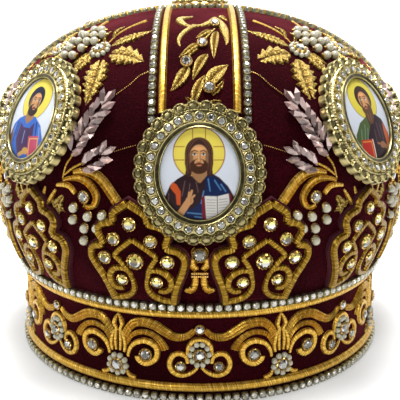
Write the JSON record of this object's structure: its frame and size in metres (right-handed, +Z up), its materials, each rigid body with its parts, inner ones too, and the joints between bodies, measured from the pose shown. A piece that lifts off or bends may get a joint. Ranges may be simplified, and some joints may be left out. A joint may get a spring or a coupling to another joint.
{
  "type": "bishop mitre",
  "caption": "Domed velvet mitre on a stiff headband, with gold cords, rows of set stones, crossing arches, oval icon medallions, lobed appliques and a cross on a boss.",
  "frame": {"origin": "centre of the hem, on the surface that the mitre stands on", "axes": "+Z up, the front medallion faces -Y, +X to the viewer's right seen from the front"},
  "size_m": [0.2302, 0.2302, 0.2341],
  "materials": {
    "velvet": "dark wine velvet",
    "gold_thread": "shiny gold satin stitch",
    "set_stones": "clear cut stones in metal cups",
    "pale_gold": "aged pale gold plate",
    "enamel": "glossy painted enamel"
  },
  "bodies": {
    "root": {"headband": "velvet", "crown_shell": "velvet", "seam_chain": "set_stones", "hem_chain": "set_stones", "seam_cord": "gold_thread", "hem_cord": "gold_thread", "palmette_1": "velvet", "palmette_2": "velvet", "palmette_3": "velvet", "palmette_4": "velvet", "palmette_5": "velvet", "palmette_6": "velvet", "palmette_7": "velvet", "palmette_8": "velvet", "palmette_9": "velvet", "palmette_10": "velvet", "palmette_11": "velvet", "palmette_12": "velvet", "medallion_frame_1": "pale_gold", "medallion_frame_2": "pale_gold", "medallion_frame_3": "pale_gold", "medallion_frame_4": "pale_gold", "medallion_frame_5": "pale_gold", "medallion_frame_6": "pale_gold", "medallion_frame_7": "pale_gold", "medallion_frame_8": "pale_gold", "icon_plaque_1": "enamel", "icon_plaque_2": "enamel", "icon_plaque_3": "enamel", "icon_plaque_4": "enamel", "icon_plaque_5": "enamel", "icon_plaque_6": "enamel", "icon_plaque_7": "enamel", "icon_plaque_8": "enamel", "arch_chain_front_a": "set_stones", "arch_chain_front_b": "set_stones", "arch_chain_right_a": "set_stones", "arch_chain_right_b": "set_stones", "arch_chain_back_a": "set_stones", "arch_chain_back_b": "set_stones", "arch_chain_left_a": "set_stones", "arch_chain_left_b": "set_stones", "arch_cord_front_a": "gold_thread", "arch_cord_front_b": "gold_thread", "arch_cord_right_a": "gold_thread", "arch_cord_right_b": "gold_thread", "arch_cord_back_a": "gold_thread", "arch_cord_back_b": "gold_thread", "arch_cord_left_a": "gold_thread", "arch_cord_left_b": "gold_thread", "top_boss": "pale_gold", "cross": "pale_gold"}
  },
  "joints": []
}
